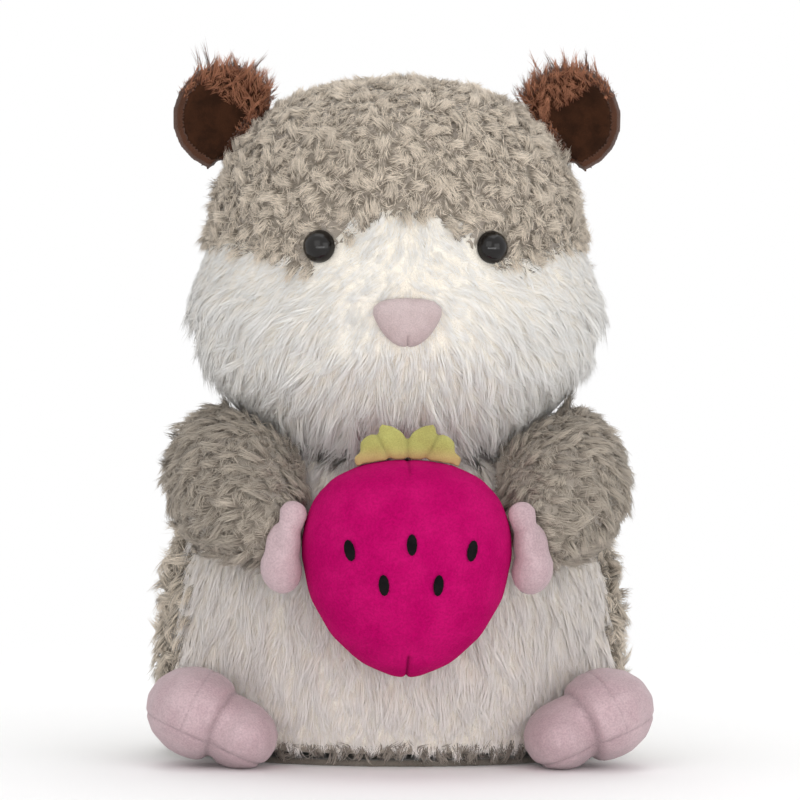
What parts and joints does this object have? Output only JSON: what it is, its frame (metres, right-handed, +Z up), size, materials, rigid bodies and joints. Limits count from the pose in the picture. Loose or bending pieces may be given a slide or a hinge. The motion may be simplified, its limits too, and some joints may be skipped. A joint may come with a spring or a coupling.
{
  "type": "plush toy",
  "caption": "Seated plush hamster hugging a plush fruit, with folding ears, a turning head, arms that open, a tummy press switch and a sound box behind a back flap",
  "frame": {"origin": "middle of the flat underside that the toy sits on", "axes": "+Z is up, the face looks along -Y, +X is to the toy's own left"},
  "size_m": [0.227, 0.2229, 0.311],
  "materials": {
    "grey_fur": "curly short pile",
    "cream_fur": "long combed pile",
    "rust_fur": "long pile",
    "brown_suede": "suede cloth",
    "pink_velour": "short velour",
    "magenta_velour": "short velour",
    "leaf_green": "printed plush",
    "thread_black": "satin stitch",
    "wool": "loose polyester fibre",
    "tape": "hook and loop tape",
    "eye_black": "polished",
    "shell_white": "fine texture",
    "shell_dark": "fine texture",
    "steel": "plated",
    "cell_sleeve": "shrunk sleeve",
    "board_green": "solder mask",
    "cone_paper": "pressed paper",
    "lead_black": "smooth insulation"
  },
  "bodies": {
    "body": {"body_filling": "wool", "sole": "grey_fur", "base_pad": "grey_fur", "back_plush": "grey_fur", "belly_plush": "cream_fur", "loop_strip": "tape", "foot_left": "pink_velour", "foot_right": "pink_velour", "fruit_body": "magenta_velour", "fruit_crown": "leaf_green", "fruit_seeds": "thread_black", "box_front_shell": "shell_white", "box_rear_shell": "shell_white", "battery_cover": "shell_white", "cover_screw": "steel", "case_screws": "steel", "battery_cells": "cell_sleeve", "battery_contacts": "steel", "circuit_board": "board_green", "sound_chip": "shell_dark", "speaker_basket": "steel", "speaker_cone": "cone_paper", "press_base": "shell_white", "press_spring": "steel", "switch_lead": "lead_black"},
    "flap": {"back_flap": "grey_fur", "hook_strip": "tape"},
    "head": {"head_filling": "wool", "neck_core": "wool", "head_cap": "grey_fur", "muzzle": "cream_fur", "nose": "pink_velour", "eye_left": "eye_black", "eye_right": "eye_black", "eye_washers": "shell_white"},
    "ear_left": {"ear_back_left": "rust_fur", "ear_lining_left": "brown_suede"},
    "ear_right": {"ear_back_right": "rust_fur", "ear_lining_right": "brown_suede"},
    "arm_left": {"sleeve_left": "grey_fur", "paw_left": "pink_velour"},
    "arm_right": {"sleeve_right": "grey_fur", "paw_right": "pink_velour"},
    "button": {"press_button": "shell_dark"},
    "slider": {"power_slider": "shell_dark"}
  },
  "joints": [
    {"name": "head_turn", "type": "hinge", "parent": "body", "child": "head", "pos_m": [0, -0.013, 0.1405], "axis": [0, 0, 1], "range_deg": [-12, 12], "stiffness_Nm_per_rad": 0.8},
    {"name": "arm_left_open", "type": "hinge", "parent": "body", "child": "arm_left", "pos_m": [-0.082, 0.0235, 0.129], "axis": [0, 0, -1], "range_deg": [0, 25], "stiffness_Nm_per_rad": 0.3},
    {"name": "arm_right_open", "type": "hinge", "parent": "body", "child": "arm_right", "pos_m": [0.082, 0.0235, 0.129], "axis": [0, 0, 1], "range_deg": [0, 25], "stiffness_Nm_per_rad": 0.3},
    {"name": "ear_left_fold", "type": "hinge", "parent": "head", "child": "ear_left", "pos_m": [-0.0684, -0.008, 0.279], "axis": [-0.6305, 0, -0.7762], "range_deg": [-18, 18], "stiffness_Nm_per_rad": 0.06},
    {"name": "ear_right_fold", "type": "hinge", "parent": "head", "child": "ear_right", "pos_m": [0.0684, -0.008, 0.279], "axis": [0.6305, 0, -0.7762], "range_deg": [-18, 18], "stiffness_Nm_per_rad": 0.06},
    {"name": "flap_lift", "type": "hinge", "parent": "body", "child": "flap", "pos_m": [0, 0.07327, 0.112], "axis": [1, 0, 0], "range_deg": [0, 100]},
    {"name": "button_press", "type": "slide", "parent": "body", "child": "button", "axis": [0, 1, 0], "range_m": [0, 0.0025], "stiffness_N_per_m": 800, "deforming": ["press_spring"]},
    {"name": "power_slide", "type": "slide", "parent": "body", "child": "slider", "axis": [0, 0, 1], "range_m": [0, 0.004]}
  ]
}
